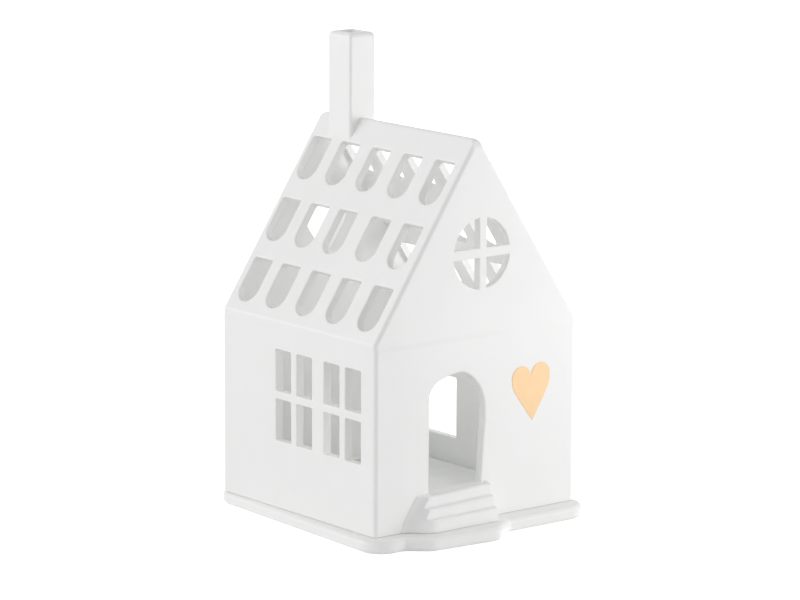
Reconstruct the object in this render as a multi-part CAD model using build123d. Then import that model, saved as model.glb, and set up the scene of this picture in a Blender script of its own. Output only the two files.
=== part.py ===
from build123d import *
import math
import os

# A white porcelain tealight house: a gabled house with punched windows and roof tiles
# that stands over a tealight on a loose base plate. Millimetres, +Z up, door towards -Y.
# The origin is the middle of the house on the surface that the base plate stands on.

# House
house_width = 91.0
house_depth = 89.0
eave_height = 68.0
ridge_height = 136.9
wall = 3.4
roof_thickness = 2.8
gable_set_back = 0.3
shoulder_top = 67.2
shoulder_height = 2.4
corner_round = 1.5
eave_round = 2.0
ridge_round = 1.6
peak_round = 4.0
foot_round = 0.4

# How far the glaze softens the edges of the openings
door_edge_round = 0.7
window_edge_round = 0.5
window_corner_round = 0.6
tile_edge_round = 0.6
tile_corner_round = 0.9

# Base plate, with a tongue under the steps and a pad inside the house
plate_thickness = 5.0
plate_front_right = -52.4
plate_back = 50.0
plate_right = 47.9
plate_front = -50.6
plate_left_front = -50.1
plate_left_back = -45.6
plate_corner_round = 9.0
plate_edge_round = 1.9
pad_height = 2.5
pad_clearance = 1.2
pad_corner_round = 3.0
pad_edge_round = 0.8

# Door and steps
door_left = -21.4
door_right = 3.6
door_top = 53.7
door_foot_narrowing = 1.8
step_heights = (12.5, 8.6, 4.85)
step_fronts = (-47.3, -49.5, -51.7)
step_tilt = 0.003
step_middle = -9.0
step_nose_round = 1.0
step_root_round = 0.6
sill_lip = 1.3

# Flare of the steps' sides at some heights: left and right ends on the wall, then in front
step_flares = {
    0.0: (-36.0, 7.6, -22.5, 4.5),
    4.7: (-34.0, 6.9, -22.5, 4.0),
    12.2: (-29.0, 5.9, -16.0, 2.7),
    14.6: (-26.5, 5.6, -14.0, 2.3),
}

# Windows in the left wall
window_centres = (2.1, -25.8)
pane_width = 8.75
pane_height = 15.0
pane_post = 3.4
pane_rail = 3.0
window_foot = 24.7

# Opening in the right wall
side_opening_front = 18.1
side_opening_back = 37.4
side_opening_sill = 11.9
side_opening_top = 34.7
side_opening_round = 0.6

# Round window in the front gable
round_window_x = 2.0
round_window_height = 95.1
round_window_radius = 12.6
bar_width = 3.5
bar_x = 2.6
bar_height = 95.25

# Heart on the front wall and heart-shaped opening in the rear gable
heart_tip_x = 25.7
heart_tip_height = 32.35
heart_tilt = 3.0
heart_relief = 0.5
rear_heart_tip_x = -0.9
rear_heart_tip_height = 82.0
rear_heart_scale = 1.08
rear_heart_corner_round = 0.9

# Tile openings: distance of each row's flat top edge up the slope, with the places of its
# five openings along the left roof. The right roof has the same rows, turned half round.
tile_rows = {
    71.1: (-34.1, -16.3, 1.7, 19.4, 36.1),
    45.8: (-33.9, -16.0, 2.8, 19.2, 36.1),
    21.4: (-34.3, -16.4, 1.0, 18.5, 35.0),
}
tile_width = 10.3
tile_length = 17.2

# Chimney
chimney_width = 11.6
chimney_front = 20.7
chimney_depth = 13.2
chimney_top = 166.3
chimney_corner_round = 1.0
chimney_top_round = 1.8
chimney_dish_depth = 1.0
chimney_rim = 2.4

# Tealight
tealight_x = -20.0
tealight_y = -8.0
cup_diameter = 38.0
cup_height = 11.5
cup_wall = 0.4
cup_rim_radius = 0.45
cup_foot_round = 1.5
wax_height = 8.6
wax_gap = 0.15
wick_gap = 0.05
sustainer_diameter = 12.0
sustainer_thickness = 0.4
collar_diameter = 3.0
collar_height = 3.2
wick_diameter = 1.6
wick_above_wax = 6.0

# Values worked out from the driving dimensions
half_width = house_width / 2
half_depth = house_depth / 2
floor = plate_thickness
roof_angle = math.degrees(math.atan2(ridge_height - eave_height, half_width))
slope_cos = math.cos(math.radians(roof_angle))
slope_sin = math.sin(math.radians(roof_angle))
inner_ridge = ridge_height - roof_thickness / slope_cos
inner_eave_x = half_width - roof_thickness / slope_sin
room_x = half_width - wall
room_y = half_depth - wall
through = 3 * wall
big = 400.0
end_plane = Plane(origin=(-half_width - 5, 0, 0), x_dir=(0, 1, 0), z_dir=(1, 0, 0))


def tread_height(number, x):
    """Height of a tread at x: the treads and the door sill rise a little to the right."""
    return step_heights[number] * (1 + step_tilt * (x - step_middle))


def prism_along_y(outline, front, back):
    """An outline in X and height above the base plate, run from front to back."""
    face = Plane(origin=(0, front, floor), x_dir=(1, 0, 0), z_dir=(0, -1, 0)) * outline
    return extrude(face, amount=-(back - front))


def outer_outline():
    """The end view of the house outside, with its eaves and its ridge rounded."""
    outline = make_face(
        Polyline(
            (-half_width, 0),
            (half_width, 0),
            (half_width, eave_height),
            (0, ridge_height),
            (-half_width, eave_height),
            close=True,
        )
    )
    eaves = [v for v in outline.vertices() if abs(v.Y - eave_height) < 0.1]
    outline = fillet(eaves, eave_round)
    return fillet(outline.vertices().sort_by(Axis.Y)[-1], ridge_round)


def under_roof_outline():
    """The end view of what lies under the two roof slabs."""
    return make_face(
        Polyline(
            (-half_width, 0),
            (half_width, 0),
            (half_width, eave_height),
            (inner_eave_x, eave_height),
            (0, inner_ridge),
            (-inner_eave_x, eave_height),
            (-half_width, eave_height),
            close=True,
        )
    )


def room_outline():
    """The end view of the hollow inside the house."""
    return make_face(
        Polyline(
            (-room_x, 0),
            (room_x, 0),
            (room_x, eave_height),
            (inner_eave_x, eave_height),
            (0, inner_ridge),
            (-inner_eave_x, eave_height),
            (-room_x, eave_height),
            close=True,
        )
    )


def gable_relief(side):
    """What is taken off above the eaves so that a gable stands back behind its wall."""
    face_y = side * half_depth
    back_y = side * (half_depth - gable_set_back)
    clear_y = side * (half_depth + 5)
    low = floor + shoulder_top - shoulder_height
    high = floor + shoulder_top
    top = floor + ridge_height + 5
    middle = ((face_y + back_y) / 2, (low + high) / 2)
    with BuildSketch(end_plane) as cut:
        with BuildLine():
            shoulder = TangentArc((face_y, low), middle, tangent=(0, 1))
            TangentArc(middle, (back_y, high), tangent=shoulder % 1)
            Polyline((back_y, high), (back_y, top), (clear_y, top), (clear_y, low), (face_y, low))
        make_face()
    return extrude(cut.sketch, amount=house_width + 10)


def peak_relief(side):
    """What is taken off at one end of the ridge to round the peak of its gable."""
    outer_y = side * (half_depth - gable_set_back)
    inner_y = side * (half_depth - gable_set_back - peak_round)
    clear_y = side * (half_depth + 5)
    high = floor + ridge_height - ridge_round * (1 / slope_cos - 1)
    low = high - peak_round
    with BuildSketch(end_plane) as cut:
        with BuildLine():
            TangentArc((outer_y, low), (inner_y, high), tangent=(0, 1))
            Polyline((inner_y, high), (inner_y, high + 5), (clear_y, high + 5), (clear_y, low))
            Line((clear_y, low), (outer_y, low))
        make_face()
    return extrude(cut.sketch, amount=house_width + 10)


def house_envelope():
    """The whole outside of the house as one solid, with its edges softened by the glaze."""
    body = prism_along_y(outer_outline(), -half_depth, half_depth)
    for side in (-1, 1):
        body = body - gable_relief(side)
    rim = [
        edge
        for edge in body.edges()
        if abs(edge.center().Y) > half_depth - 2 * gable_set_back
        and edge.center().Z > floor + 1
        and not (edge.geom_type == GeomType.LINE and abs(edge.tangent_at(0).X) > 0.9)
    ]
    body = fillet(rim, corner_round)
    body = fillet(body.faces().sort_by(Axis.Z)[0].edges(), foot_round)
    for side in (-1, 1):
        body = body - peak_relief(side)
    return body


def house_shell():
    """The envelope with the room taken out of it."""
    return house_envelope() - prism_along_y(room_outline(), -room_y, room_y)


def slab(shell, x_range, y_range, z_range):
    """The part of the shell inside a box, with heights above the base plate."""
    size = [high - low for low, high in (x_range, y_range, z_range)]
    centre = [(low + high) / 2 for low, high in (x_range, y_range, z_range)]
    return shell & Pos(centre[0], centre[1], centre[2] + floor) * Box(*size)


def soften(plate, cutter, across, radius, lowest=0.0):
    """Round the rims that an opening leaves in a slab's two faces, but not those under lowest."""
    low, high = cutter.bounding_box().min, cutter.bounding_box().max
    margin = 0.01
    rims = [
        edge
        for edge in plate.edges()
        if abs(edge.tangent_at(0.5).dot(across)) < 0.01
        and edge.center().Z > lowest
        and all(
            low.X - margin < point.X < high.X + margin
            and low.Y - margin < point.Y < high.Y + margin
            and low.Z - margin < point.Z < high.Z + margin
            for point in (edge @ 0, edge @ 0.5, edge @ 1)
        )
    ]
    return fillet(rims, radius)


def door_outline():
    """The doorway, with the uneven arch that it was cut with."""
    right_spring = (door_right, 39.6)
    right_haunch = (door_right - 6.8, 52.4)
    crown = (door_right - 13.7, door_top)
    left_haunch = (door_left + 5.4, 52.2)
    left_spring = (door_left, 45.3)
    right_foot = (door_right - door_foot_narrowing, tread_height(0, door_right))
    left_foot = (door_left, tread_height(0, door_left))
    with BuildSketch() as outline:
        with BuildLine():
            Line(right_foot, (door_right, 36.0))
            Line((door_right, 36.0), right_spring)
            first = TangentArc(right_spring, right_haunch, tangent=(0, 1))
            second = TangentArc(right_haunch, crown, tangent=first % 1)
            third = TangentArc(crown, left_haunch, tangent=second % 1)
            TangentArc(left_haunch, left_spring, tangent=third % 1)
            Line(left_spring, left_foot)
            Line(left_foot, right_foot)
        make_face()
    return outline.sketch


def heart_outline():
    """A heart with its tip at the origin."""
    notch = (0, 16.2)
    lobe_top = (4.6, 20.4)
    widest = (8.8, 15.6)
    flank = (7.4, 10.8)
    with BuildSketch() as outline:
        with BuildLine():
            ThreePointArc(notch, lobe_top, widest)
            side = TangentArc(widest, flank, tangent=(0, -1))
            TangentArc(flank, (0, 0), tangent=side % 1)
            mirror(about=Plane.YZ)
        make_face()
    return outline.sketch


def round_window_outline():
    """The four quarters of the round window, left between its crossed bars."""
    disc = Pos(round_window_x, round_window_height) * Circle(round_window_radius)
    post = Pos(bar_x, round_window_height) * Rectangle(bar_width, 3 * round_window_radius)
    rail = Pos(round_window_x, bar_height) * Rectangle(3 * round_window_radius, bar_width)
    return disc - post - rail


def make_front_wall(shell):
    """Front wall and gable in one slab, with the doorway and the round window."""
    plate = slab(shell, (-big, big), (-big, -room_y), (-big, big))
    plate = plate & prism_along_y(under_roof_outline(), -big, big)
    sill = floor + tread_height(0, door_right) + 0.1
    openings = (
        (door_outline(), door_edge_round, sill),
        (round_window_outline(), window_edge_round, floor),
    )
    for outline, radius, lowest in openings:
        cutter = prism_along_y(outline, -half_depth - through, -half_depth + through)
        plate = soften(plate - cutter, cutter, Vector(0, 1, 0), radius, lowest)
    return plate


def make_rear_wall(shell):
    """Rear wall and gable in one slab, with the heart-shaped opening."""
    plate = slab(shell, (-big, big), (room_y, big), (-big, big))
    plate = plate & prism_along_y(under_roof_outline(), -big, big)
    heart = scale(heart_outline(), rear_heart_scale)
    sharp = [corner for corner in heart.vertices() if abs(corner.X) < 0.1]
    heart = Pos(rear_heart_tip_x, rear_heart_tip_height) * fillet(sharp, rear_heart_corner_round)
    cutter = prism_along_y(heart, half_depth - through, half_depth + through)
    return soften(plate - cutter, cutter, Vector(0, 1, 0), window_edge_round)


def make_left_wall(shell):
    """Left wall with its two windows of four panes."""
    plate = slab(shell, (-big, -half_width + 2 * wall), (-room_y, room_y), (0, eave_height))
    for centre in window_centres:
        for post_side in (-1, 1):
            for row in (0, 1):
                y = centre + post_side * (pane_width + pane_post) / 2
                z = floor + window_foot + pane_height / 2 + row * (pane_height + pane_rail)
                pane = Box(through, pane_width, pane_height)
                pane = Pos(-half_width, y, z) * fillet(pane.edges().filter_by(Axis.X), window_corner_round)
                plate = soften(plate - pane, pane, Vector(1, 0, 0), window_edge_round)
    return plate


def make_right_wall(shell):
    """Right wall with its one tall opening."""
    plate = slab(shell, (half_width - 2 * wall, big), (-room_y, room_y), (0, eave_height))
    width = side_opening_back - side_opening_front
    height = side_opening_top - side_opening_sill
    y = (side_opening_back + side_opening_front) / 2
    z = floor + (side_opening_top + side_opening_sill) / 2
    opening = Box(through, width, height)
    opening = Pos(half_width, y, z) * fillet(opening.edges().filter_by(Axis.X), side_opening_round)
    return soften(plate - opening, opening, Vector(1, 0, 0), window_edge_round)


def tile_outline():
    """One tile opening: a flat top edge and a round foot, hung from the origin."""
    half = tile_width / 2
    with BuildSketch() as outline:
        with BuildLine():
            Polyline(
                (-half, half - tile_length),
                (-half, 0),
                (half, 0),
                (half, half - tile_length),
            )
            ThreePointArc(
                (half, half - tile_length),
                (0, -tile_length),
                (-half, half - tile_length),
            )
        make_face()
    top_corners = [corner for corner in outline.sketch.vertices() if abs(corner.Y) < 0.1]
    return fillet(top_corners, tile_corner_round)


def make_roof(shell, side):
    """One roof slab, side -1 left and 1 right, with its three rows of tile openings."""
    x_range = (-big, 0) if side < 0 else (0, big)
    plate = slab(shell, x_range, (-big, big), (eave_height, big))
    plate = plate - prism_along_y(under_roof_outline(), -big, big)
    slope = Plane(
        origin=(side * half_width, 0, floor + eave_height),
        x_dir=(0, side, 0),
        z_dir=(side * slope_sin, 0, slope_cos),
    )
    for row_top, places in tile_rows.items():
        for place in places:
            outline = slope * Pos(-place, row_top) * tile_outline()
            opening = extrude(outline, amount=2 * roof_thickness, both=True)
            plate = plate - opening
    facing = [face for face in plate.faces() if face.normal_at().dot(slope.z_dir) > 0.99]
    outer_face = max(facing, key=lambda face: face.area)
    rims = [edge for wire in outer_face.inner_wires() for edge in wire.edges()]
    return fillet(rims, tile_edge_round)


def make_chimney():
    """Chimney with softened edges and a shallow dish in its top, cut to sit on the ridge."""
    foot = ridge_height - 12
    height = chimney_top - foot
    middle_y = chimney_front + chimney_depth / 2
    stack = Box(chimney_width, chimney_depth, height, align=(Align.CENTER, Align.CENTER, Align.MIN))
    stack = fillet(stack.edges().filter_by(Axis.Z), chimney_corner_round)
    stack = fillet(stack.faces().sort_by(Axis.Z)[-1].edges(), chimney_top_round)
    dish = Pos(0, 0, height) * Box(
        chimney_width - 2 * chimney_rim, chimney_depth - 2 * chimney_rim, 2 * chimney_dish_depth
    )
    dish = fillet(dish.edges().filter_by(Axis.Z), chimney_corner_round)
    stack = Pos(0, middle_y, floor + foot) * (stack - dish)
    return stack - prism_along_y(outer_outline(), -half_depth, half_depth)


def flare_section(height, ends):
    """Plan of the block of steps at one height, with its left side drawn out along the wall."""
    wall_left, wall_right, front_left, front_right = ends
    front = step_fronts[-1]
    middle = ((wall_left + front_left) / 2, (front - half_depth) / 2)
    with BuildSketch(Plane.XY.offset(floor + height)) as outline:
        with BuildLine():
            cove = TangentArc((wall_left, -half_depth), middle, tangent=(1, 0))
            TangentArc(middle, (front_left, front), tangent=cove % 1)
            Line((front_left, front), (front_right, front))
            Line((front_right, front), (wall_right, -half_depth))
            Line((wall_right, -half_depth), (wall_left, -half_depth))
        make_face()
    return outline.sketch


def stair_section(x):
    """End view of the three steps at x, with soft noses and roots."""
    corners = []
    rounds = []
    for number, front in enumerate(step_fronts):
        height = tread_height(number, x)
        if number > 0:
            corners.append((step_fronts[number - 1], height))
            rounds.append(step_root_round)
        corners.append((front, height))
        rounds.append(step_nose_round)
    top = (-half_depth, tread_height(0, x))
    foot = (step_fronts[-1], 0)
    with BuildSketch(Plane(origin=(x, 0, floor), x_dir=(0, 1, 0), z_dir=(1, 0, 0))) as outline:
        with BuildLine():
            FilletPolyline(top, *corners, foot, radius=rounds)
            Polyline(foot, (-half_depth, 0), top)
        make_face()
    return outline.sketch


def lip_section(x):
    """End view of the lip of clay between the top tread and the wall beside the door."""
    tread = tread_height(0, x)
    with BuildSketch(Plane(origin=(x, 0, floor), x_dir=(0, 1, 0), z_dir=(1, 0, 0))) as outline:
        with BuildLine():
            RadiusArc((-half_depth - sill_lip, tread), (-half_depth, tread + sill_lip), -sill_lip)
            Line((-half_depth, tread + sill_lip), (-half_depth, tread - 1))
            Line((-half_depth, tread - 1), (-half_depth - sill_lip, tread - 1))
            Line((-half_depth - sill_lip, tread - 1), (-half_depth - sill_lip, tread))
        make_face()
    return outline.sketch


def make_door_steps():
    """Three steps in one block against the front wall, with soft noses and drawn-out sides."""
    flares = loft([flare_section(*item) for item in step_flares.items()], ruled=True)
    left_end, right_end = step_flares[0.0][0] - 2, step_flares[0.0][1] + 2
    stairs = loft([stair_section(left_end), stair_section(right_end)], ruled=True)
    stairs = stairs + loft([lip_section(left_end), lip_section(door_left)], ruled=True)
    stairs = stairs + loft([lip_section(door_right), lip_section(right_end)], ruled=True)
    return flares & stairs


def plate_outline():
    """Plan of the base plate: not quite square, with a tongue in front for the steps."""
    corners = {
        (plate_left_front, plate_front): plate_corner_round,
        (-36.5, plate_front): 2.5,
        (-29.5, -56.9): 6.0,
        (-1.0, -59.4): 5.0,
        (9.5, plate_front_right + 0.3): 2.5,
        (plate_right, plate_front_right): plate_corner_round,
        (plate_right, plate_back): plate_corner_round,
        (plate_left_back, plate_back): plate_corner_round,
    }
    outline = make_face(Polyline(*corners, close=True))
    for (x, y), radius in corners.items():
        corner = outline.vertices().sort_by_distance((x, y, 0))[0]
        outline = fillet(corner, radius)
    return outline


def make_base_plate():
    """Flat plate with softened edges, and the low pad that keeps the house in its place."""
    plate = extrude(plate_outline(), amount=plate_thickness)
    rims = plate.faces().filter_by(Axis.Z).edges()
    plate = fillet(rims, plate_edge_round)
    pad = Box(
        2 * (room_x - pad_clearance),
        2 * (room_y - pad_clearance),
        pad_height + plate_thickness / 2,
        align=(Align.CENTER, Align.CENTER, Align.MIN),
    )
    pad = fillet(pad.edges().filter_by(Axis.Z), pad_corner_round)
    pad = fillet(pad.faces().sort_by(Axis.Z)[-1].edges(), pad_edge_round)
    return plate + Pos(0, 0, plate_thickness / 2) * pad


def make_gold_heart():
    """Thin heart that lies on the front wall."""
    heart = Pos(heart_tip_x, heart_tip_height) * Rot(0, 0, heart_tilt) * heart_outline()
    return prism_along_y(heart, -half_depth - heart_relief, -half_depth)


def turned(*profile):
    """A solid turned about the tealight's upright axis, standing on the pad."""
    face = Plane.XZ * make_face(Polyline(*profile, close=True))
    solid = revolve(face, Axis.Z)
    return Pos(tealight_x, tealight_y, floor + pad_height) * solid


def make_tealight_cup():
    """Thin metal cup with a rounded foot and a rolled rim."""
    radius = cup_diameter / 2
    outside = Cylinder(radius, cup_height, align=(Align.CENTER, Align.CENTER, Align.MIN))
    outside = fillet(outside.edges().sort_by(Axis.Z)[0], cup_foot_round)
    inside = Pos(0, 0, cup_wall) * Cylinder(
        radius - cup_wall, cup_height, align=(Align.CENTER, Align.CENTER, Align.MIN)
    )
    inside = fillet(inside.edges().sort_by(Axis.Z)[0], cup_foot_round - cup_wall)
    rim = Pos(0, 0, cup_height - cup_rim_radius) * Torus(radius, cup_rim_radius)
    cup = outside - inside + rim
    return Pos(tealight_x, tealight_y, floor + pad_height) * cup


def make_tealight_wax():
    """Wax filling, with room in its foot for the wick's holder."""
    radius = cup_diameter / 2 - cup_wall - wax_gap
    foot = cup_wall
    top = foot + wax_height
    disc_top = foot + sustainer_thickness + wick_gap
    collar_top = foot + sustainer_thickness + collar_height + wick_gap
    disc = sustainer_diameter / 2 + wick_gap
    collar = collar_diameter / 2 + wick_gap
    bore = wick_diameter / 2 + wick_gap
    return turned(
        (disc, foot),
        (radius - cup_foot_round, foot),
        (radius, foot + cup_foot_round),
        (radius, top),
        (bore, top),
        (bore, collar_top),
        (collar, collar_top),
        (collar, disc_top),
        (disc, disc_top),
    )


def make_wick_sustainer():
    """Tin disc with a crimped collar that holds the wick upright."""
    foot = cup_wall
    disc_top = foot + sustainer_thickness
    top = disc_top + collar_height
    bore = wick_diameter / 2 + wick_gap
    return turned(
        (0, foot),
        (sustainer_diameter / 2, foot),
        (sustainer_diameter / 2, disc_top),
        (collar_diameter / 2, disc_top),
        (collar_diameter / 2, top),
        (bore, top),
        (bore, disc_top),
        (0, disc_top),
    )


def make_wick():
    """Round cotton wick from its holder up out of the wax."""
    foot = cup_wall + sustainer_thickness
    top = cup_wall + wax_height + wick_above_wax
    radius = wick_diameter / 2
    return turned((0, foot), (radius, foot), (radius, top - 0.4), (radius - 0.4, top), (0, top))


def main():
    shell = house_shell()
    nodes = {
        "base_plate": make_base_plate(),
        "front_wall": make_front_wall(shell),
        "rear_wall": make_rear_wall(shell),
        "left_wall": make_left_wall(shell),
        "right_wall": make_right_wall(shell),
        "left_roof": make_roof(shell, -1),
        "right_roof": make_roof(shell, 1),
        "chimney": make_chimney(),
        "door_steps": make_door_steps(),
        "gold_heart": make_gold_heart(),
        "tealight_cup": make_tealight_cup(),
        "tealight_wax": make_tealight_wax(),
        "wick_sustainer": make_wick_sustainer(),
        "wick": make_wick(),
    }
    os.makedirs("parts", exist_ok=True)
    for name, shape in nodes.items():
        export_step(shape, f"parts/{name}.step")


main()
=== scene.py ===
"""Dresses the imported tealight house: white porcelain, a gilded heart and a tealight inside."""

import math

import bmesh
import bpy
from bpy.props import FloatProperty, FloatVectorProperty, IntProperty, PointerProperty
from mathutils import Matrix, Vector, noise


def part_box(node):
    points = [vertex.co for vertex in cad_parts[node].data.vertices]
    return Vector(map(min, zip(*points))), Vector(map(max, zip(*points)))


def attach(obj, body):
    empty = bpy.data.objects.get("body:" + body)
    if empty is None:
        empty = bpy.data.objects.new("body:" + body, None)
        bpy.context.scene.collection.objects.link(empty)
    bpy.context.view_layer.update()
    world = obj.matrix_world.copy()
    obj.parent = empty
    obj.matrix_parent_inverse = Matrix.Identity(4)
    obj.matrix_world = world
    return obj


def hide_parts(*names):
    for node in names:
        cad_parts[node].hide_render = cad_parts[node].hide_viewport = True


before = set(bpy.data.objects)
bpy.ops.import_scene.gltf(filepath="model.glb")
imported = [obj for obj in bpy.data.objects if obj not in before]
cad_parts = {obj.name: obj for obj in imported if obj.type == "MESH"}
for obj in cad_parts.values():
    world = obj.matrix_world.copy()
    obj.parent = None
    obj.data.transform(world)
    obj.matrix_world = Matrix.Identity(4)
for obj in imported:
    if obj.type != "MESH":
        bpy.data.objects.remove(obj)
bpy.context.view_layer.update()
MM = 0.001
WICK_BORE = 0.85 * MM
CUP_CORNER = 1.5 * MM

bl_info = {
    "name": "Tealight House",
    "version": (1, 0, 0),
    "blender": (4, 5, 0),
    "location": "View3D > Sidebar > Tealight House",
    "description": "Glazes, gilds and lights a porcelain tealight house",
    "category": "Object",
}

GLAZED_NODES = (
    "base_plate",
    "front_wall",
    "rear_wall",
    "left_wall",
    "right_wall",
    "left_roof",
    "right_roof",
    "chimney",
)


class GlazeSettings(bpy.types.PropertyGroup):
    """The white porcelain and its clear glaze"""

    colour: FloatVectorProperty(
        name="Colour",
        description="Colour of the glazed porcelain",
        subtype="COLOR",
        size=3,
        default=(0.943, 0.947, 0.939),
    )
    foot_colour: FloatVectorProperty(
        name="Unglazed colour",
        description="Colour of the bare rims and the underside, which are wiped clean of glaze",
        subtype="COLOR",
        size=3,
        default=(0.74, 0.72, 0.68),
    )
    roughness: FloatProperty(
        name="Roughness",
        description="Mean roughness of the fired glaze",
        subtype="FACTOR",
        min=0.0,
        max=1.0,
        default=0.2,
    )
    softening: FloatProperty(
        name="Softening",
        description="Size of the grid on which the steps are softened",
        subtype="DISTANCE",
        unit="LENGTH",
        default=0.3 * MM,
    )


class HeartSettings(bpy.types.PropertyGroup):
    """The gilded heart beside the door"""

    colour: FloatVectorProperty(
        name="Colour",
        description="Colour of the fired gold",
        subtype="COLOR",
        size=3,
        default=(0.93, 0.665, 0.41),
    )
    relief: FloatProperty(
        name="Relief",
        description="How far the gold stands out from the wall",
        subtype="DISTANCE",
        unit="LENGTH",
        default=0.16 * MM,
    )


class TealightSettings(bpy.types.PropertyGroup):
    """The tealight that stands in the house"""

    flutes: IntProperty(
        name="Flutes",
        description="Number of shallow flutes pressed into the wall of the cup",
        default=48,
    )
    flute_depth: FloatProperty(
        name="Flute depth",
        description="Depth of the flutes",
        subtype="DISTANCE",
        unit="LENGTH",
        default=0.12 * MM,
    )
    wax_colour: FloatVectorProperty(
        name="Wax colour",
        description="Colour of the wax",
        subtype="COLOR",
        size=3,
        default=(0.87, 0.85, 0.79),
    )
    strands: IntProperty(
        name="Strands",
        description="Number of strands that the wick is plaited from",
        default=4,
    )


class StageSettings(bpy.types.PropertyGroup):
    """Floor, light and camera"""

    azimuth: FloatProperty(
        name="Azimuth",
        description="Turn of the camera from the front of the house, negative to its left",
        subtype="ANGLE",
        unit="ROTATION",
        default=math.radians(-38.715),
    )
    elevation: FloatProperty(
        name="Elevation",
        description="Height angle of the camera",
        subtype="ANGLE",
        unit="ROTATION",
        default=math.radians(10.984),
    )
    roll: FloatProperty(
        name="Roll",
        description="Turn of the camera about its own view",
        subtype="ANGLE",
        unit="ROTATION",
        default=math.radians(0.244),
    )
    distance: FloatProperty(
        name="Distance",
        description="Distance of the camera from the middle of the house",
        subtype="DISTANCE",
        unit="LENGTH",
        default=1.407743,
    )
    key: FloatProperty(
        name="Key light",
        description="Power of the soft light at the front right",
        subtype="POWER",
        unit="POWER",
        default=0.69,
    )
    fill: FloatProperty(
        name="Fill light",
        description="Power of the large light at the back left",
        subtype="POWER",
        unit="POWER",
        default=11.2,
    )
    surroundings: FloatProperty(
        name="Surroundings",
        description="Strength of the pale studio walls around the house",
        default=0.75,
    )
    ceiling: FloatProperty(
        name="Ceiling",
        description="Strength of the studio overhead",
        default=0.4,
    )
    inside: FloatProperty(
        name="Inside",
        description="Power of the soft light in the room, for what thin porcelain lets in",
        subtype="POWER",
        unit="POWER",
        default=0.0075,
    )
    glint: FloatProperty(
        name="Glint",
        description="Power of the small light that is mirrored in the crease over the door",
        subtype="POWER",
        unit="POWER",
        default=0.09,
    )


# Sockets of a Mix node that mixes colours, which share their names with others.
MIX_FACTOR, MIX_FIRST, MIX_SECOND, MIX_RESULT = 0, 6, 7, 2


class Field:
    """A shader socket on which plain sums can be written."""

    def __init__(self, finish, socket):
        self.finish = finish
        self.socket = socket

    def maths(self, operation, first, second):
        return self.finish.add("ShaderNodeMath", {"operation": operation}, {0: first, 1: second})

    def __add__(self, other):
        return self.maths("ADD", self, other)

    def __radd__(self, other):
        return self.maths("ADD", other, self)

    def __sub__(self, other):
        return self.maths("SUBTRACT", self, other)

    def __rsub__(self, other):
        return self.maths("SUBTRACT", other, self)

    def __mul__(self, other):
        return self.maths("MULTIPLY", self, other)

    def __rmul__(self, other):
        return self.maths("MULTIPLY", other, self)

    def __gt__(self, other):
        return self.maths("GREATER_THAN", self, other)

    def __lt__(self, other):
        return self.maths("LESS_THAN", self, other)

    def or_more(self, other):
        """The larger of two values."""
        return self.maths("MAXIMUM", self, other)


class Finish:
    """The nodes of a material or a world, added one by one."""

    def __init__(self, owner):
        self.owner = owner
        self.owner.use_nodes = True
        self.tree = self.owner.node_tree
        self.tree.nodes.clear()

    def add(self, kind, settings=None, inputs=None, output=0):
        """Add a node, make its settings, fill or link its inputs and return one output."""
        node = self.tree.nodes.new(kind)
        for name, value in (settings or {}).items():
            setattr(node, name, value)
        for key, value in (inputs or {}).items():
            if isinstance(value, Field):
                self.tree.links.new(value.socket, node.inputs[key])
            else:
                node.inputs[key].default_value = value
        return Field(self, node.outputs[output]) if node.outputs else None

    def place(self):
        """Where a point is in the object's own space."""
        return self.add("ShaderNodeTexCoord", output="Object")

    def upright(self, vector):
        """The part of a vector that points up."""
        return self.add("ShaderNodeSeparateXYZ", None, {0: vector}, "Z")

    def unevenness(self, waves, detail=2.0, stretch=None):
        """Soft noise from 0 to 1 with this many waves to the metre."""
        place = self.place()
        if stretch:
            place = self.add("ShaderNodeMapping", None, {"Vector": place, "Scale": stretch})
        inputs = {"Vector": place, "Scale": waves, "Detail": detail}
        return self.add("ShaderNodeTexNoise", None, inputs, "Fac")

    def ramp(self, value, low, high):
        """0 below low, 1 above high and a smooth rise between."""
        settings = {"interpolation_type": "SMOOTHSTEP"}
        inputs = {"Value": value, "From Min": low, "From Max": high}
        return self.add("ShaderNodeMapRange", settings, inputs, "Result")

    def mix(self, factor, first, second):
        """A colour between two others."""
        inputs = {MIX_FACTOR: factor, MIX_FIRST: colour4(first), MIX_SECOND: colour4(second)}
        return self.add("ShaderNodeMix", {"data_type": "RGBA"}, inputs, MIX_RESULT)

    def bump(self, height, distance, under=None):
        """A normal from a height between 0 and 1, where 1 stands this far out."""
        inputs = {"Height": height, "Distance": distance}
        if under:
            inputs["Normal"] = under
        return self.add("ShaderNodeBump", None, inputs, "Normal")

    def surface(self, inputs):
        """End the material in a Principled shader."""
        shader = self.add("ShaderNodeBsdfPrincipled", None, inputs)
        self.add("ShaderNodeOutputMaterial", None, {"Surface": shader})
        return self.owner


def colour4(colour):
    """A colour with its alpha, or a link as it is."""
    return colour if isinstance(colour, Field) else (*colour, 1.0)


def settings_of(context):
    """The settings that the panel shows."""
    return context.scene.tealight_house


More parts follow.
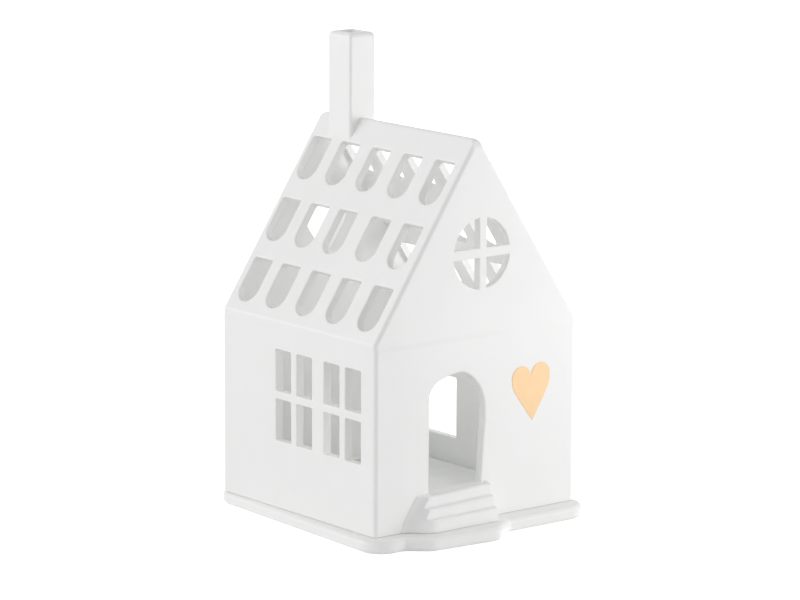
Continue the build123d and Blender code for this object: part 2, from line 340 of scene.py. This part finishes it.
def glaze():
    """White porcelain under a clear glaze, bare on the rims that stand on something."""
    known = bpy.data.materials.get("Glazed porcelain")
    if known:
        return known
    look = settings_of(bpy.context).glaze
    finish = Finish(bpy.data.materials.new("Glazed porcelain"))
    plate_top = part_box("front_wall")[0][2]
    height = finish.upright(finish.place())
    wiped_foot = 1 - finish.ramp(height, 0.15 * MM, 0.45 * MM)
    above_rim = finish.ramp(height, plate_top + 0.05 * MM, plate_top + 0.25 * MM)
    below_rim = finish.ramp(height, plate_top - 0.3 * MM, plate_top - 0.02 * MM)
    facing = finish.upright(finish.add("ShaderNodeNewGeometry", output="Normal"))
    wiped_rim = (facing < -0.6) * below_rim * (1 - above_rim)
    bare = wiped_foot.or_more(wiped_rim)
    cloud = finish.unevenness(waves=28.0, detail=3.0)
    mottle = finish.unevenness(waves=260.0)
    grain = finish.unevenness(waves=2600.0)
    thin_share = 0.965
    thin_glaze = tuple(thin_share * channel for channel in look.colour)
    glazed = finish.mix(cloud, thin_glaze, look.colour)
    pale_clay = (0.8, 0.79, 0.75)
    clay = finish.mix(grain, look.foot_colour, pale_clay)
    swell = finish.bump(finish.unevenness(waves=75.0, detail=1.0), 0.22 * MM)
    relief = 0.75 * mottle + 0.25 * bare * grain
    return finish.surface(
        {
            "Base Color": finish.mix(bare, glazed, clay),
            "Roughness": look.roughness + 0.1 * (mottle - 0.5) + 0.45 * bare,
            "Normal": finish.bump(relief, 0.05 * MM, under=swell),
            "IOR": 1.5,
        }
    )


def gilding():
    """Gold painted on by brush and fired, with thin streaks across."""
    look = settings_of(bpy.context).heart
    finish = Finish(bpy.data.materials.new("Fired gold"))
    strokes = finish.unevenness(waves=420.0, detail=3.0, stretch=(1.0, 1.0, 0.16))
    patches = finish.unevenness(waves=150.0)
    thick_gold = (0.93, 0.88, 0.78)
    deep = tuple(channel * share for channel, share in zip(look.colour, thick_gold))
    colour = finish.mix(0.6 * strokes + 0.4 * patches, deep, look.colour)
    return finish.surface(
        {
            "Base Color": colour,
            "Metallic": 0.2 + 0.15 * patches,
            "Roughness": 0.42 + 0.14 * (strokes - 0.5),
            "Normal": finish.bump(strokes, 0.05 * MM),
        }
    )


def foil():
    """Drawn aluminium with the fine upright scuffs of its pressing."""
    finish = Finish(bpy.data.materials.new("Cup aluminium"))
    scuffs = finish.unevenness(waves=900.0, detail=3.0, stretch=(1.0, 1.0, 0.1))
    cloud = finish.unevenness(waves=120.0)
    return finish.surface(
        {
            "Base Color": finish.mix(cloud, (0.78, 0.79, 0.8), (0.87, 0.87, 0.87)),
            "Metallic": 1.0,
            "Roughness": 0.26 + 0.16 * scuffs,
            "Normal": finish.bump(scuffs, 0.02 * MM),
        }
    )


def paraffin():
    """White wax with a faint frosting."""
    look = settings_of(bpy.context).tealight
    finish = Finish(bpy.data.materials.new("Paraffin wax"))
    frost = finish.unevenness(waves=340.0, detail=4.0)
    pale = tuple(min(1.0, 1.05 * channel) for channel in look.wax_colour)
    return finish.surface(
        {
            "Base Color": finish.mix(frost, look.wax_colour, pale),
            "Roughness": 0.38 + 0.2 * frost,
            "Normal": finish.bump(frost, 0.06 * MM),
            "Subsurface Weight": 0.3,
            "Subsurface Radius": (1.0, 0.9, 0.7),
            "Subsurface Scale": 2.0 * MM,
        }
    )


def tinned_steel():
    """Thin steel with the fine marks of its press tool."""
    finish = Finish(bpy.data.materials.new("Tinned steel"))
    marks = finish.unevenness(waves=1500.0)
    return finish.surface(
        {
            "Base Color": finish.mix(marks, (0.55, 0.55, 0.56), (0.68, 0.68, 0.68)),
            "Metallic": 1.0,
            "Roughness": 0.3 + 0.2 * marks,
            "Normal": finish.bump(marks, 0.02 * MM),
        }
    )


def waxed_cotton():
    """Plaited cotton that has drunk a little wax."""
    finish = Finish(bpy.data.materials.new("Waxed cotton"))
    fibres = finish.unevenness(waves=4000.0, detail=3.0, stretch=(1.0, 1.0, 0.3))
    wax = finish.unevenness(waves=500.0)
    return finish.surface(
        {
            "Base Color": finish.mix(fibres, (0.72, 0.68, 0.58), (0.86, 0.83, 0.75)),
            "Roughness": 0.85 - 0.3 * wax,
            "Normal": finish.bump(fibres, 0.08 * MM),
        }
    )


def add_piece(name, mesh, material, body, slot, *nodes):
    """Put a mesh in the scene in place of the nodes that it stands for."""
    for polygon in mesh.polygons:
        polygon.use_smooth = True
    mesh.materials.clear()
    mesh.materials.append(material)
    piece = bpy.data.objects.new(name, mesh)
    bpy.context.scene.collection.objects.link(piece)
    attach(piece, body)
    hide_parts(*nodes)
    return piece


def mesh_of(bm, name):
    """A mesh of what has been built, with its faces turned outwards."""
    bmesh.ops.recalc_face_normals(bm, faces=bm.faces)
    mesh = bpy.data.meshes.new(name)
    bm.to_mesh(mesh)
    bm.free()
    return mesh


def turned_mesh(name, profile, segments, reshape=None):
    """Turn (radius, height) points about the upright axis; reshape moves each point."""
    bm = bmesh.new()
    rings = []
    for radius, height in profile:
        if radius <= 0:
            rings.append([bm.verts.new((0, 0, height))])
            continue
        ring = []
        for index in range(segments):
            angle = 2 * math.pi * index / segments
            point = Vector((radius * math.cos(angle), radius * math.sin(angle), height))
            ring.append(bm.verts.new(reshape(point, angle) if reshape else point))
        rings.append(ring)
    closed = len(rings[0]) > 1
    pairs = zip(rings, rings[1:] + rings[:1] if closed else rings[1:])
    for lower, upper in pairs:
        for index in range(segments):
            following = (index + 1) % segments
            corners = [
                lower[index % len(lower)],
                lower[following % len(lower)],
                upper[following % len(upper)],
                upper[index % len(upper)],
            ]
            distinct = list(dict.fromkeys(corners))
            if len(distinct) > 2:
                bm.faces.new(distinct)
    return mesh_of(bm, name)


def middle_of(low, high):
    """The upright axis of a piece, from two corners of its box."""
    return Vector(((low[0] + high[0]) / 2, (low[1] + high[1]) / 2, 0))


def softened_mesh(node, grid, smoothing, before, after):
    """A node's mesh, remeshed finely and smoothed so that the glaze runs over its edges."""
    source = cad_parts[node].data.copy()
    for vertex in source.vertices:
        vertex.co = before(vertex.co)
    carrier = bpy.data.objects.new("softening", source)
    bpy.context.scene.collection.objects.link(carrier)
    remesh = carrier.modifiers.new("grid", "REMESH")
    remesh.mode = "VOXEL"
    remesh.voxel_size = grid
    smooth = carrier.modifiers.new("smooth", "SMOOTH")
    smooth.iterations = smoothing
    graph = bpy.context.evaluated_depsgraph_get()
    mesh = bpy.data.meshes.new_from_object(carrier.evaluated_get(graph))
    bpy.data.objects.remove(carrier)
    for vertex in mesh.vertices:
        vertex.co = after(vertex.co)
    return mesh


def wobble(point, wave, size):
    """Small offset that makes a softened surface look made by hand, the same on each run."""
    apart = (Vector((0, 0, 0)), Vector((31.4, 0, 0)), Vector((0, 47.2, 0)))
    return Vector([noise.noise(point / wave + shift) for shift in apart]) * size


class TEALIGHT_OT_glaze_house(bpy.types.Operator):
    """Glaze the walls, the roof and the base plate"""

    bl_idname = "tealight.glaze_house"
    bl_label = "Glaze house"

    def execute(self, context):
        material = glaze()
        for name in GLAZED_NODES:
            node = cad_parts[name]
            node.data.materials.clear()
            node.data.materials.append(material)
        return {"FINISHED"}


class TEALIGHT_OT_steps(bpy.types.Operator):
    """Make the three door steps with glaze run over them"""

    bl_idname = "tealight.steps"
    bl_label = "Door steps"

    def execute(self, context):
        low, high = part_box("door_steps")
        foot, back = low[2], high[1]
        back_skin = 0.2 * MM
        hold_in_wall = 1.2 * MM
        level_foot = 0.8 * MM

        def into_wall(point):
            if point.y > back - back_skin:
                return Vector((point.x, point.y + hold_in_wall, point.z))
            return point

        def settle(point):
            moved = point + wobble(point, wave=9 * MM, size=0.2 * MM)
            if point.z < foot + level_foot:
                moved.z = max(foot, point.z)
            return moved

        grid = settings_of(context).glaze.softening
        mesh = softened_mesh("door_steps", grid, 6, before=into_wall, after=settle)
        add_piece("glazed_steps", mesh, glaze(), "house", "porcelain", "door_steps")
        return {"FINISHED"}


class TEALIGHT_OT_heart(bpy.types.Operator):
    """Lay the gilded heart on the wall, with a soft thin rim"""

    bl_idname = "tealight.heart"
    bl_label = "Gilded heart"

    def execute(self, context):
        low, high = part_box("gold_heart")
        wall_y, face_y = high[1], low[1]
        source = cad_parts["gold_heart"].data
        middle_share = 0.56
        middle_height = low[2] + middle_share * (high[2] - low[2])
        middle = Vector(((low[0] + high[0]) / 2, middle_height))
        near_face = 0.01 * MM
        rim = dict.fromkeys(
            (round(vertex.co.x, 6), round(vertex.co.z, 6))
            for vertex in source.vertices
            if abs(vertex.co.y - face_y) < near_face
        )
        places = [Vector(place) - middle for place in rim]
        places.sort(key=lambda place: math.atan2(place.y, place.x))
        relief = settings_of(context).heart.relief
        hold_in_wall = 0.2 * MM
        profile = (
            (0.0, -hold_in_wall),
            (0.0, 0.4 * relief),
            (0.25 * relief, 0.75 * relief),
            (0.8 * relief, relief),
            (3 * relief, relief),
        )
        bm = bmesh.new()
        loops = []
        for inset, rise in profile:
            loop = []
            for index, place in enumerate(places):
                along = places[(index + 1) % len(places)] - places[index - 1]
                inward = Vector((-along.y, along.x)).normalized()
                point = middle + place + inward * inset
                loop.append(bm.verts.new((point.x, wall_y - rise, point.y)))
            loops.append(loop)
        for lower, upper in zip(loops, loops[1:]):
            for index, corner in enumerate(lower):
                following = (index + 1) % len(lower)
                bm.faces.new((corner, lower[following], upper[following], upper[index]))
        bm.faces.new(loops[-1])
        bm.faces.new(loops[0][::-1])
        mesh = mesh_of(bm, "heart")
        add_piece("gilded_heart", mesh, gilding(), "house", "gold_lustre", "gold_heart")
        return {"FINISHED"}


def round_points(centre, radius, start, end, count):
    """Points of an arc in a profile; angles in degrees from outwards to upwards."""
    points = []
    for index in range(count + 1):
        angle = math.radians(start + (end - start) * index / count)
        across, along = radius * math.cos(angle), radius * math.sin(angle)
        points.append((centre[0] + across, centre[1] + along))
    return points


class TEALIGHT_OT_cup(bpy.types.Operator):
    """Draw the tealight's fluted cup with its rolled rim"""

    bl_idname = "tealight.cup"
    bl_label = "Tealight cup"

    def execute(self, context):
        look = settings_of(context).tealight
        low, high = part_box("tealight_cup")
        rim = 0.45 * MM
        outer = (high[0] - low[0]) / 2 - rim
        wall = 0.3 * MM
        emboss = 0.5 * MM
        ring_in, ring_out = 0.55 * outer, 0.62 * outer
        foot, top = low[2], high[2]
        corner = (outer - CUP_CORNER, foot + CUP_CORNER)
        heights = [foot + share * (top - foot) for share in (0.35, 0.6, 0.85)]
        profile = [(0, foot + emboss), (ring_in, foot + emboss), (ring_out, foot)]
        profile += round_points(corner, CUP_CORNER, -90, 0, 6)
        profile += [(outer, height) for height in heights]
        profile += round_points((outer, top - rim), rim, -60, 200, 12)
        profile += [(outer - wall, height) for height in reversed(heights)]
        profile += round_points(corner, CUP_CORNER - wall, 0, -90, 6)
        profile += [(ring_out, foot + wall), (ring_in, foot + emboss + wall)]
        profile += [(0, foot + emboss + wall)]
        middle = middle_of(low, high)
        flutes_from, flutes_to, plain_from = 0.08, 0.92, 0.93

        def place(point, angle):
            share = (point.z - foot) / (top - foot)
            radius = math.hypot(point.x, point.y)
            rise = (share - flutes_from) / (flutes_to - flutes_from)
            fade = math.sin(math.pi * min(1.0, max(0.0, rise)))
            depth = look.flute_depth * fade * (0.5 - 0.5 * math.cos(look.flutes * angle))
            if radius < outer - 2 * wall or share > plain_from:
                depth = 0
            scale = (radius - depth) / radius
            return Vector((middle.x + point.x * scale, middle.y + point.y * scale, point.z))

        mesh = turned_mesh("cup", profile, 4 * look.flutes, place)
        shift_poles(mesh, middle)
        add_piece("fluted_cup", mesh, foil(), "tealight", "cup_metal", "tealight_cup")
        return {"FINISHED"}


def shift_poles(mesh, middle):
    """Move the points that a turned mesh has on its axis to the tealight's middle."""
    for vertex in mesh.vertices:
        if math.hypot(vertex.co.x, vertex.co.y) < 1e-9:
            vertex.co.x = middle.x
            vertex.co.y = middle.y


class TEALIGHT_OT_wax(bpy.types.Operator):
    """Pour the wax, drawn up a little at the cup and at the wick"""

    bl_idname = "tealight.wax"
    bl_label = "Wax"

    def execute(self, context):
        low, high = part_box("tealight_wax")
        middle = middle_of(low, high)
        radius = (high[0] - low[0]) / 2
        foot, top = low[2], high[2]
        disc_top = foot + 0.45 * MM
        disc_low, disc_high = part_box("wick_sustainer")
        hole = (disc_high[0] - disc_low[0]) / 2 + 0.05 * MM
        drawn_up = 0.25 * MM
        profile = [(hole, disc_top), (hole, foot)]
        corner = (radius - CUP_CORNER, foot + CUP_CORNER)
        profile += round_points(corner, CUP_CORNER, -90, 0, 6)
        profile += [(radius, top - 0.4 * MM), (radius - 0.05 * MM, top + drawn_up)]
        for share in (0.97, 0.93, 0.86, 0.75, 0.6, 0.45, 0.3, 0.18, 0.1):
            at_cup = drawn_up * math.exp(-(1 - share) * radius / (0.8 * MM))
            at_wick = 0.5 * MM * math.exp(-(share * radius - WICK_BORE) / (0.9 * MM))
            sink = 0.35 * MM * (1 - share) ** 2
            profile.append((share * radius, top + at_cup + at_wick - sink))
        profile += [(WICK_BORE, top + 0.3 * MM), (WICK_BORE, disc_top)]
        ripple, ripple_wave = 0.06 * MM, 3 * MM

        def place(point, angle):
            moved = Vector((middle.x + point.x, middle.y + point.y, point.z))
            if point.z > top - 1 * MM and math.hypot(point.x, point.y) < 0.95 * radius:
                moved.z += ripple * noise.noise(moved / ripple_wave)
            return moved

        mesh = turned_mesh("wax", profile, 96, place)
        add_piece("poured_wax", mesh, paraffin(), "tealight", "wax", "tealight_wax")
        return {"FINISHED"}


class TEALIGHT_OT_wick_holder(bpy.types.Operator):
    """Press the wick holder with its ring and its crimped collar"""

    bl_idname = "tealight.wick_holder"
    bl_label = "Wick holder"

    def execute(self, context):
        low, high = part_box("wick_sustainer")
        middle = middle_of(low, high)
        radius = (high[0] - low[0]) / 2
        foot, top = low[2], high[2]
        sheet = 0.4 * MM
        collar = 1.5 * MM
        edge = 0.1 * MM
        cove = 0.5 * MM
        disc = foot + sheet
        profile = [(0, foot), (radius - edge, foot), (radius, foot + edge)]
        profile += [(radius, disc - edge), (radius - edge, disc)]
        profile += [(0.72 * radius, disc), (0.66 * radius, foot + 0.8 * sheet)]
        profile += [(0.6 * radius, disc), (collar + cove, disc)]
        profile += round_points((collar + cove, disc + cove), cove, 270, 180, 4)
        profile += [(collar, foot + share * (top - foot)) for share in (0.4, 0.55, 0.7, 0.85)]
        profile += [(collar - edge, top), (WICK_BORE + edge, top), (WICK_BORE, top - edge)]
        profile += [(WICK_BORE, disc), (0, disc)]
        crimps = 4
        crimp_depth = 0.12
        crimped_from = 0.45

        def place(point, angle):
            share = (point.z - foot) / (top - foot)
            scale = 1.0
            at_collar = abs(math.hypot(point.x, point.y) - collar) < 1.5 * edge
            if at_collar and share > crimped_from:
                bite = max(0.0, math.cos(crimps * angle)) * math.sin(math.pi * min(1, share))
                scale -= crimp_depth * bite
            return Vector((middle.x + point.x * scale, middle.y + point.y * scale, point.z))

        mesh = turned_mesh("holder", profile, 64, place)
        shift_poles(mesh, middle)
        steel = tinned_steel()
        add_piece("pressed_holder", mesh, steel, "tealight", "holder_metal", "wick_sustainer")
        return {"FINISHED"}


class TEALIGHT_OT_wick(bpy.types.Operator):
    """Plait the wick"""

    bl_idname = "tealight.wick"
    bl_label = "Wick"

    def execute(self, context):
        look = settings_of(context).tealight
        low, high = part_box("wick")
        middle = middle_of(low, high)
        radius = (high[0] - low[0]) / 2
        strand = radius * 0.52
        burnt_end = 0.6
        leans_from = 0.7
        turns = 5.0
        stations = 90
        sides = 10
        bm = bmesh.new()
        for number in range(look.strands):
            start = 2 * math.pi * number / look.strands
            rings = []
            for station in range(stations + 1):
                share = station / stations
                height = low[2] + share * (high[2] - low[2])
                angle = start + 2 * math.pi * turns * share
                lean = 5 * MM * max(0.0, share - leans_from) ** 2
                core = Vector((middle.x + lean, middle.y, height))
                offset = Vector((math.cos(angle), math.sin(angle), 0)) * (radius - strand)
                thick = strand * (1.0 if station < stations else burnt_end)
                ring = []
                for side in range(sides):
                    turn = 2 * math.pi * side / sides
                    around = Vector((math.cos(turn), math.sin(turn), 0)) * thick
                    ring.append(bm.verts.new(core + offset + around))
                rings.append(ring)
            for lower, upper in zip(rings, rings[1:]):
                for side in range(sides):
                    following = (side + 1) % sides
                    bm.faces.new((lower[side], lower[following], upper[following], upper[side]))
            bm.faces.new(rings[-1])
            bm.faces.new(rings[0][::-1])
        mesh = mesh_of(bm, "wick")
        add_piece("plaited_wick", mesh, waxed_cotton(), "tealight", "cotton", "wick")
        return {"FINISHED"}


class TEALIGHT_OT_stage(bpy.types.Operator):
    """Set the pale floor, the soft lights and the camera"""

    bl_idname = "tealight.stage"
    bl_label = "Stage"

    def execute(self, context):
        stage = settings_of(context).stage
        self.make_floor()
        self.make_world(context, stage)
        self.make_lights(stage)
        self.make_inside_light(stage)
        self.make_camera(context, stage)
        context.scene.view_settings.view_transform = "Standard"
        context.scene.cycles.diffuse_bounces = 12
        return {"FINISHED"}

    def make_floor(self):
        """A plain white floor, lit from within only for the eye, so that it keeps the shadow."""
        bm = bmesh.new()
        half = 3.0
        signs = ((-1, -1), (1, -1), (1, 1), (-1, 1))
        bm.faces.new([bm.verts.new((half * x, half * y, 0)) for x, y in signs])
        mesh = mesh_of(bm, "floor")
        finish = Finish(bpy.data.materials.new("Floor"))
        tooth = finish.unevenness(waves=300.0)
        diffuse = finish.add("ShaderNodeBsdfDiffuse", None, {"Color": (0.85, 0.85, 0.85, 1)})
        strength = (0.8 + 0.01 * tooth) * seen_ray(finish)
        glow = finish.add("ShaderNodeEmission", None, {"Strength": strength})
        shader = finish.add("ShaderNodeAddShader", None, {0: diffuse, 1: glow})
        finish.add("ShaderNodeOutputMaterial", None, {"Surface": shader})
        mesh.materials.append(finish.owner)
        floor = bpy.data.objects.new("floor", mesh)
        bpy.context.scene.collection.objects.link(floor)

    def make_world(self, context, stage):
        """A pale studio all round that is pure white only where it is seen."""
        world = bpy.data.worlds.new("Studio")
        context.scene.world = world
        finish = Finish(world)
        way = finish.add("ShaderNodeTexCoord", output="Generated")
        overhead = finish.ramp(finish.upright(way), 0.0, 1.0)
        around = stage.surroundings + (stage.ceiling - stage.surroundings) * overhead
        strength = around + (1 - around) * seen_ray(finish)
        inputs = {"Color": (1, 1, 1, 1), "Strength": strength}
        background = finish.add("ShaderNodeBackground", None, inputs)
        finish.add("ShaderNodeOutputWorld", None, {"Surface": background})

    def make_lights(self, stage):
        """A soft light on each side and a small one for the crease over the door."""
        # name, place, size, power, and whether the glaze mirrors the light
        lamps = (
            ("key", (0.32, -0.285, 0.13), 0.26, stage.key, False),
            ("fill", (-1.3, 0.75, 0.5), 1.6, stage.fill, True),
            ("glint", (0.386, -0.386, 0.14), 0.12, stage.glint, True),
        )
        lit_point = Vector((0, 0, 0.07))
        for name, place, size, power, mirrored in lamps:
            lamp = bpy.data.lights.new(name, "AREA")
            lamp.shape = "SQUARE"
            lamp.size = size
            lamp.energy = power
            light = bpy.data.objects.new(name, lamp)
            light.location = place
            aim = lit_point - light.location
            light.rotation_euler = aim.to_track_quat("-Z", "Y").to_euler()
            light.visible_glossy = mirrored
            bpy.context.scene.collection.objects.link(light)

    def make_inside_light(self, stage):
        """A soft glow in the middle of the room."""
        lamp = bpy.data.lights.new("inside", "POINT")
        lamp.energy = stage.inside
        lamp.shadow_soft_size = 0.02
        light = bpy.data.objects.new("inside", lamp)
        light.location = (0.01, 0.0, 0.07)
        light.visible_camera = False
        light.visible_glossy = False
        bpy.context.scene.collection.objects.link(light)

    def make_camera(self, context, stage):
        """The photograph's view from the front left and a little above."""
        turn, rise = stage.azimuth, stage.elevation
        back = Vector(
            (math.sin(turn) * math.cos(rise), -math.cos(turn) * math.cos(rise), math.sin(rise))
        )
        right = Vector((math.cos(turn), math.sin(turn), 0))
        up = back.cross(right)
        aim_right = 0.665 * MM
        aim_up = 70.664 * MM
        plate_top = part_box("front_wall")[0][2]
        eye = right * aim_right + up * aim_up + back * stage.distance
        eye.z += plate_top
        rolled_right = right * math.cos(stage.roll) + up * math.sin(stage.roll)
        rolled_up = up * math.cos(stage.roll) - right * math.sin(stage.roll)
        data = bpy.data.cameras.new("camera")
        data.sensor_width = 36.0
        data.lens = 174.94
        data.clip_start = 0.05
        data.clip_end = 20.0
        camera = bpy.data.objects.new("camera", data)
        rotation = Matrix((rolled_right, rolled_up, back)).transposed()
        camera.matrix_world = Matrix.Translation(eye) @ rotation.to_4x4()
        context.scene.collection.objects.link(camera)
        context.scene.camera = camera


def seen_ray(finish):
    """1 on rays that the camera sees straight, in a gloss or through glass, and 0 on others."""
    straight = finish.add("ShaderNodeLightPath", output="Is Camera Ray")
    mirrored = finish.add("ShaderNodeLightPath", output="Is Glossy Ray")
    through = finish.add("ShaderNodeLightPath", output="Is Transmission Ray")
    return straight.or_more(mirrored).or_more(through)


class TealightHouseSettings(bpy.types.PropertyGroup):
    """All that can be changed on the tealight house"""

    glaze: PointerProperty(type=GlazeSettings, name="Glaze", description="Porcelain and glaze")
    heart: PointerProperty(type=HeartSettings, name="Heart", description="The gilded heart")
    tealight: PointerProperty(type=TealightSettings, name="Tealight", description="The tealight")
    stage: PointerProperty(type=StageSettings, name="Stage", description="Floor, light, camera")


OPERATORS = (
    TEALIGHT_OT_glaze_house,
    TEALIGHT_OT_steps,
    TEALIGHT_OT_heart,
    TEALIGHT_OT_cup,
    TEALIGHT_OT_wax,
    TEALIGHT_OT_wick_holder,
    TEALIGHT_OT_wick,
    TEALIGHT_OT_stage,
)


class VIEW3D_PT_tealight_house(bpy.types.Panel):
    """Lists the pieces of the tealight house"""

    bl_label = "Tealight House"
    bl_space_type = "VIEW_3D"
    bl_region_type = "UI"
    bl_category = "Tealight House"

    def draw(self, context):
        settings = settings_of(context)
        for operator in OPERATORS:
            self.layout.operator(operator.bl_idname)
        for group in (settings.glaze, settings.heart, settings.tealight, settings.stage):
            box = self.layout.box()
            for name in group.__annotations__:
                box.prop(group, name)


CLASSES = (
    GlazeSettings,
    HeartSettings,
    TealightSettings,
    StageSettings,
    TealightHouseSettings,
    *OPERATORS,
    VIEW3D_PT_tealight_house,
)


def register():
    """Make the classes and the settings known."""
    for cls in CLASSES:
        bpy.utils.register_class(cls)
    bpy.types.Scene.tealight_house = PointerProperty(type=TealightHouseSettings)


def unregister():
    """Take the settings and the classes away again."""
    del bpy.types.Scene.tealight_house
    for cls in reversed(CLASSES):
        bpy.utils.unregister_class(cls)


def main():
    """Dress every piece and set the stage."""
    register()
    bpy.ops.tealight.glaze_house()
    bpy.ops.tealight.steps()
    bpy.ops.tealight.heart()
    bpy.ops.tealight.cup()
    bpy.ops.tealight.wax()
    bpy.ops.tealight.wick_holder()
    bpy.ops.tealight.wick()
    bpy.ops.tealight.stage()


if __name__ == "__main__":
    main()
